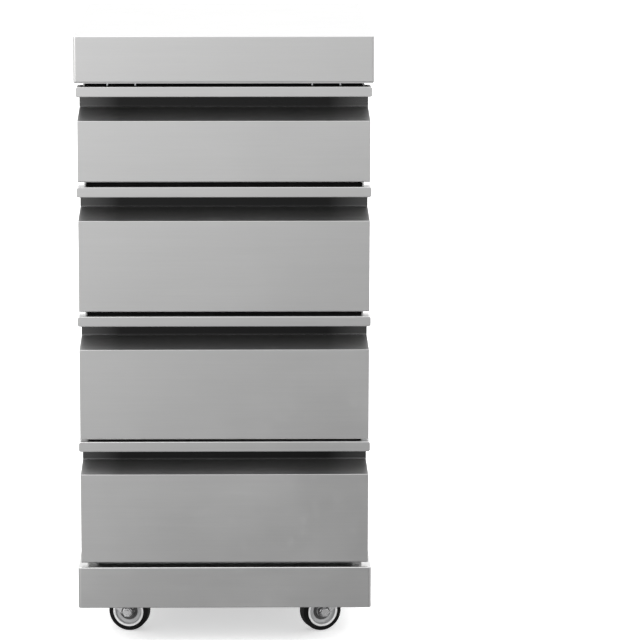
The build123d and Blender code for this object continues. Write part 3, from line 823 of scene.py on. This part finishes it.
class CABINET_OT_drawer_fronts(bpy.types.Operator):
    """Fold each drawer's front panel and its grip rail"""

    bl_idname = "cabinet.drawer_fronts"
    bl_label = "Drawer Fronts"

    def execute(self, context):
        sizes = context.scene.cabinet_sizes
        for number in DRAWERS:
            body = f"drawer_{number}"
            piece_from(
                front_panel_mesh(number, sizes), f"drawer_front_{number}", body,
                [finish("steel_across"), finish("grip_steel"), finish("grip_wall_steel")],
                [f"front_panel_{number}"], sizes.sheet,
            )  # fmt: skip
            piece_from(
                grip_rail_mesh(number, sizes), f"drawer_grip_{number}", body,
                [finish("steel_across")], [f"grip_rail_{number}"], sizes.sheet,
            )  # fmt: skip
            piece_from(
                front_liner_mesh(number, sizes), f"drawer_liner_{number}", body,
                [finish("satin_steel")], [f"front_liner_{number}"],
            )  # fmt: skip
        return {"FINISHED"}


class CABINET_OT_drawer_seals(bpy.types.Operator):
    """Round off each drawer's gasket and the strip on its grip rail"""

    bl_idname = "cabinet.drawer_seals"
    bl_label = "Drawer Seals"

    def execute(self, context):
        width = context.scene.cabinet_sizes.seal_edge
        for number in DRAWERS:
            edged_copy(
                f"drawer_seal_{number}", f"drawer_{number}", "seal_rubber", width, 3
            )
        return {"FINISHED"}


class CABINET_OT_drawer_boxes(bpy.types.Operator):
    """Fold each drawer's box, with its inward rim"""

    bl_idname = "cabinet.drawer_boxes"
    bl_label = "Drawer Boxes"

    def execute(self, context):
        sizes = context.scene.cabinet_sizes
        for number in DRAWERS:
            node = f"drawer_box_{number}"
            bend = sizes.bend * BOX_BEND
            bm = pan_mesh(*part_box(node), sizes.box_corner, bend, sizes.box_rim, Z)
            piece_from(
                bm, f"drawer_tray_{number}", f"drawer_{number}",
                [finish("satin_steel")], [node], sizes.box_sheet,
            )  # fmt: skip
        return {"FINISHED"}


# ---- Operators: castors -------------------------------------------------------------------
def wheel_place(name):
    """The matrix that lays a piece turned round Z on a castor's axle."""
    spin = JOINTS[f"wheel_{name}_spin"]
    turn = Vector(spin["axis"]).to_track_quat("Z", "Y").to_matrix().to_4x4()
    return Matrix.Translation(spin["pos_m"]) @ turn


def upright_radius(node):
    """The radius, in millimetres, of a wheel part that stands upright."""
    low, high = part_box(node)
    return (high.z - low.z) / 2 / MM


def turned_piece(
    outline, name, part, finishes, stands_for=(), rings=(), body="wheel", coarse=1
):  # fmt: skip
    """A piece turned round an axle. Between the radii of each ring it takes the next finish."""
    steps = bpy.context.scene.cabinet_sizes.wheel_steps // coarse
    bm = lathe_mesh([(radius * MM, height * MM) for radius, height in outline], steps)
    for index, (inner, outer) in enumerate(rings, 1):
        for face in bm.faces:
            if inner * MM < face.calc_center_median().xy.length < outer * MM:
                face.material_index = index
    bmesh.ops.transform(bm, matrix=wheel_place(name), verts=bm.verts)
    return piece_from(
        bm, f"{part}_{name}", f"{body}_{name}", [finish(f) for f in finishes], stands_for,
        smooth=WHEEL_SMOOTH_ANGLE,
    )  # fmt: skip


# Wheel sizes, in millimetres. Heights are along the axle, from the wheel's middle.
BORE = 4.05
BOSS_RADIUS, BOSS_FACE = 9.0, 11.8
WEB_FACE = 6.8  # the dished part of the hub between its boss and flange
FORK_FACE = 15.05  # height of the fork's outer face
HUB_DARK_RING = (9.1, 14.0)  # radii
# The ring at the rim takes a painted highlight.
HUB_HIGHLIGHT_WIDTH = 3.3  # width in from the rim
TYRE_SHOULDER = 3.5  # radius of a tyre's rounded corners
GROOVE_PLACE = 3.8  # height of the middle of each tread groove
GROOVE_TOP, GROOVE_FOOT = 0.8, 0.4  # half its width at the tread and at its bottom
SIDES = ((1, "outer"), (-1, "inner"))


def mirrored(half):
    """A wheel outline from the half of it at positive heights, listed from the bore outwards."""
    return [*half, *[(radius, -height) for radius, height in reversed(half)]]


def tyre_outline(rim, crown, half_width, groove):
    """(radius, height) of the tyre: rounded shoulders, a sidewall ring and tread grooves."""
    inner, low = crown - TYRE_SHOULDER, half_width - TYRE_SHOULDER
    arc = [math.radians(angle) for angle in range(0, 91, 18)]  # a quarter turn in five steps
    corner = [
        (inner + TYRE_SHOULDER * math.sin(angle), low + TYRE_SHOULDER * math.cos(angle))
        for angle in arc
    ]
    half = [
        (rim, half_width), (rim + 1.2, half_width), (rim + 1.5, half_width - 0.3),
        (rim + 2.2, half_width - 0.3), (rim + 2.5, half_width), *corner,
        (crown, GROOVE_PLACE + GROOVE_TOP), (crown - groove, GROOVE_PLACE + GROOVE_FOOT),
        (crown - groove, GROOVE_PLACE - GROOVE_FOOT), (crown, GROOVE_PLACE - GROOVE_TOP),
    ]  # fmt: skip
    return mirrored(half)


def hub_outline(rim, half_width):
    """(radius, height) of the hub: bore, boss, dished web with rings, and flange."""
    half = [
        (BORE, BOSS_FACE), (BOSS_RADIUS - 0.6, BOSS_FACE), (BOSS_RADIUS, BOSS_FACE - 0.6),
        (BOSS_RADIUS + 0.2, WEB_FACE + 1.2), (BOSS_RADIUS + 1.2, WEB_FACE + 0.4),
        (12.2, WEB_FACE), (12.6, WEB_FACE + 0.7), (14.4, WEB_FACE + 0.7), (14.9, WEB_FACE - 0.2),
        (rim - 5.2, WEB_FACE), (rim - 4.2, WEB_FACE + 1.4),
        (rim - 3.5, half_width - 0.4), (rim - 3.0, half_width), (rim - 0.5, half_width),
        (rim, half_width - 0.4),
    ]  # fmt: skip
    return mirrored(half)


def shield_outline(side):
    """(radius, height) of the dark bearing shield on one face of the boss."""
    low, high = sorted((side * (BOSS_FACE - 0.05), side * (BOSS_FACE + 0.35)))
    inner, outer, chamfer = 4.3, 7.9, 0.3
    return [
        (inner, low), (outer - chamfer, low), (outer, low), (outer, (low + high) / 2),
        (outer - chamfer, high), (inner, high),
    ]  # fmt: skip


def dark_ring_outline(side):
    """(radius, height) of a dark ring round an axle washer, on the fork's outer face."""
    low, high = sorted((side * FORK_FACE, side * (FORK_FACE + 0.9)))
    inner, outer, chamfer = 7.8, 9.9, 0.3
    return [
        (inner, low), (outer - chamfer, low), (outer, (low + high) / 2), (outer - chamfer, high),
        (inner, high),
    ]  # fmt: skip


class CABINET_OT_wheels(bpy.types.Operator):
    """Turn each castor's tyre, hub and bearing shields"""

    bl_idname = "cabinet.wheels"
    bl_label = "Wheels"

    def execute(self, context):
        sizes = context.scene.cabinet_sizes
        groove, half_width = sizes.tread_groove / MM, sizes.wheel_half_width / MM
        for name in CASTORS:
            rim, crown = upright_radius(f"wheel_hub_{name}"), upright_radius(f"tyre_{name}")
            turned_piece(
                tyre_outline(rim, crown, half_width, groove), name, "tread",
                ["tyre_rubber"], [f"tyre_{name}"],
            )  # fmt: skip
            turned_piece(
                hub_outline(rim, half_width), name, "hub",
                ["hub_plastic", "shield", "hub_ring"], [f"wheel_hub_{name}"],
                [HUB_DARK_RING, (rim - HUB_HIGHLIGHT_WIDTH, rim)],
            )  # fmt: skip
            for side, label in SIDES:
                turned_piece(
                    shield_outline(side), name, f"{label}_shield", ["shield"],
                    coarse=2,
                )  # fmt: skip
        return {"FINISHED"}


class CABINET_OT_castors(bpy.types.Operator):
    """Break the edges of each castor's fork, axle and plate"""

    bl_idname = "cabinet.castors"
    bl_label = "Castors"

    def execute(self, context):
        sizes = context.scene.cabinet_sizes
        for name in CASTORS:
            body, fork, axle = f"castor_{name}", f"castor_fork_{name}", f"castor_axle_{name}"
            edged_copy(fork, body, "castor_zinc", sizes.fork_edge, 3)
            edged_copy(axle, body, "bolt_zinc", sizes.broken_edge)
            for side, label in SIDES:
                turned_piece(
                    dark_ring_outline(side), name, f"{label}_collar", ["shield"],
                    body="castor",
                )  # fmt: skip
        edged_copy("castor_plates", "cabinet", "castor_zinc", sizes.panel_edge)
        return {"FINISHED"}


# ---- Operator: stage ----------------------------------------------------------------------
# The studio's light by direction. Heights, sides and depths are the parts of a unit direction
# along Z, X and Y.
FLOOR_HEIGHTS, FLOOR_LIGHT = (-0.30, 0.0), 0.30  # strength rises from the floor to the horizon
CEILING_HEIGHTS = (0.15, 0.60)  # strength rises from the horizon to full light
AHEAD_DEPTHS = (-0.93, -0.80)  # directions in front of the drawers, which the next lines shade
SIDES_ACROSS, SIDE_SHADES = (-0.15, 0.15), (0.50, -0.60)  # lighter left, darker right
SHADE_HEIGHTS, SHADE_GAINS = (-0.30, -0.05), (2.4, 0.45)  # and more so near the floor
DEEP_HEIGHTS, DEEP_SHADES = (-0.30, -0.15), (-0.40, 0.0)  # darker near the floor on both sides
FLOOR_ROUGHNESS, FLOOR_GLOSS = 0.9, 0.1


def add_floor(settings):
    """A wide pale floor."""
    bm = bmesh.new()
    bmesh.ops.create_grid(bm, x_segments=1, y_segments=1, size=settings.floor_half)
    mesh = bpy.data.meshes.new("floor")
    bm.to_mesh(mesh)
    bm.free()
    floor = bpy.data.objects.new("floor", mesh)
    bpy.context.scene.collection.objects.link(floor)
    material, tree, shader, _ = new_material("floor_paint", 0.0)
    shader.inputs["Base Color"].default_value = (*settings.floor, 1.0)
    shader.inputs["Roughness"].default_value = FLOOR_ROUGHNESS
    shader.inputs["Specular IOR Level"].default_value = FLOOR_GLOSS
    shader.inputs["Emission Color"].default_value = (*settings.floor, 1.0)
    shader.inputs["Emission Strength"].default_value = settings.floor_lift
    mesh.materials.append(material)
    floor.visible_glossy = False


def add_key_light(settings):
    """A soft square light to the front and left."""
    data = bpy.data.lights.new("key", "AREA")
    data.energy = settings.key
    data.shape = "SQUARE"
    data.size = settings.key_size
    light = bpy.data.objects.new("key", data)
    place = Vector(settings.key_place)
    look = Vector(settings.key_aim) - place
    light.location = place
    light.rotation_euler = look.to_track_quat("-Z", "Y").to_euler()
    bpy.context.scene.collection.objects.link(light)


def add_sky(settings):
    """A white studio. Its light falls off below the horizon, and in front of the drawers it
    also falls from left to right."""
    world = bpy.data.worlds.new("studio")
    bpy.context.scene.world = world
    world.use_nodes = True
    tree = world.node_tree
    background = next(node for node in tree.nodes if node.type == "BACKGROUND")
    background.inputs["Color"].default_value = (1.0, 1.0, 1.0, 1.0)
    direction = tree.nodes.new("ShaderNodeTexCoord").outputs["Generated"]
    split = tree.nodes.new("ShaderNodeSeparateXYZ")
    tree.links.new(direction, split.inputs[0])
    across, depth, height = split.outputs
    below = range_node(tree, height, FLOOR_HEIGHTS, (FLOOR_LIGHT, settings.horizon))
    above = range_node(tree, height, CEILING_HEIGHTS, (0.0, settings.sky - settings.horizon))
    ahead = range_node(tree, depth, AHEAD_DEPTHS, (1.0, 0.0))
    sideways = range_node(tree, across, SIDES_ACROSS, SIDE_SHADES)
    gain = range_node(tree, height, SHADE_HEIGHTS, SHADE_GAINS)
    deep = range_node(tree, height, DEEP_HEIGHTS, DEEP_SHADES)
    shade = math_node(tree, "ADD", math_node(tree, "MULTIPLY", sideways, gain), deep)
    kept = math_node(tree, "ADD", math_node(tree, "MULTIPLY", shade, ahead), 1.0)
    lit = math_node(tree, "MAXIMUM", math_node(tree, "MULTIPLY", below, kept), 0.0)
    tree.links.new(math_node(tree, "ADD", lit, above), background.inputs["Strength"])


def add_camera(settings):
    """The camera in front of the cabinet, above the worktop, looking slightly down."""
    data = bpy.data.cameras.new("camera")
    data.lens = settings.lens
    data.shift_x = settings.shift
    camera = bpy.data.objects.new("camera", data)
    front = CAD_BOX[0].y
    camera.location = (0.0, front - settings.distance, settings.height)
    target = Vector((settings.aim_side, front, settings.aim_height))
    look = target - camera.location
    camera.rotation_euler = look.to_track_quat("-Z", "Y").to_euler()
    bpy.context.scene.collection.objects.link(camera)
    bpy.context.scene.camera = camera


class CABINET_OT_stage(bpy.types.Operator):
    """Set up the floor, the studio light and the camera"""

    bl_idname = "cabinet.stage"
    bl_label = "Stage"

    def execute(self, context):
        settings = context.scene.cabinet_stage
        context.scene.view_settings.view_transform = "Standard"
        add_floor(settings)
        add_sky(settings)
        add_key_light(settings)
        add_camera(settings)
        return {"FINISHED"}


# ---- Panel and registration ---------------------------------------------------------------
STEPS = (
    CABINET_OT_stage, CABINET_OT_worktop, CABINET_OT_plinth, CABINET_OT_carcass,
    CABINET_OT_slides, CABINET_OT_fasteners, CABINET_OT_drawer_fronts, CABINET_OT_drawer_seals,
    CABINET_OT_drawer_boxes, CABINET_OT_wheels, CABINET_OT_castors,
)  # fmt: skip


class CABINET_PT_sidebar(bpy.types.Panel):
    """Sizes, colours and steps of the cabinet"""

    bl_idname = "CABINET_PT_sidebar"
    bl_label = "Steel Drawer Cabinet"
    bl_space_type = "VIEW_3D"
    bl_region_type = "UI"
    bl_category = "Cabinet"

    def draw(self, context):
        scene = context.scene
        for group in (scene.cabinet_sizes, scene.cabinet_colours, scene.cabinet_stage):
            box = self.layout.box()
            for label in group.__annotations__:
                box.prop(group, label)
        for step in STEPS:
            self.layout.operator(step.bl_idname)


CLASSES = (CabinetSizes, CabinetColours, CabinetStage, *STEPS, CABINET_PT_sidebar)


def register():
    """Registers the classes and hangs the properties on the scene."""
    for cls in CLASSES:
        bpy.utils.register_class(cls)
    bpy.types.Scene.cabinet_sizes = PointerProperty(type=CabinetSizes)
    bpy.types.Scene.cabinet_colours = PointerProperty(type=CabinetColours)
    bpy.types.Scene.cabinet_stage = PointerProperty(type=CabinetStage)


def unregister():
    """Takes the properties and the classes away again."""
    del bpy.types.Scene.cabinet_stage
    del bpy.types.Scene.cabinet_colours
    del bpy.types.Scene.cabinet_sizes
    for cls in reversed(CLASSES):
        bpy.utils.unregister_class(cls)


def main():
    """Makes everything."""
    register()
    for step in STEPS:
        group, name = step.bl_idname.split(".")
        getattr(getattr(bpy.ops, group), name)()


if __name__ == "__main__":
    main()
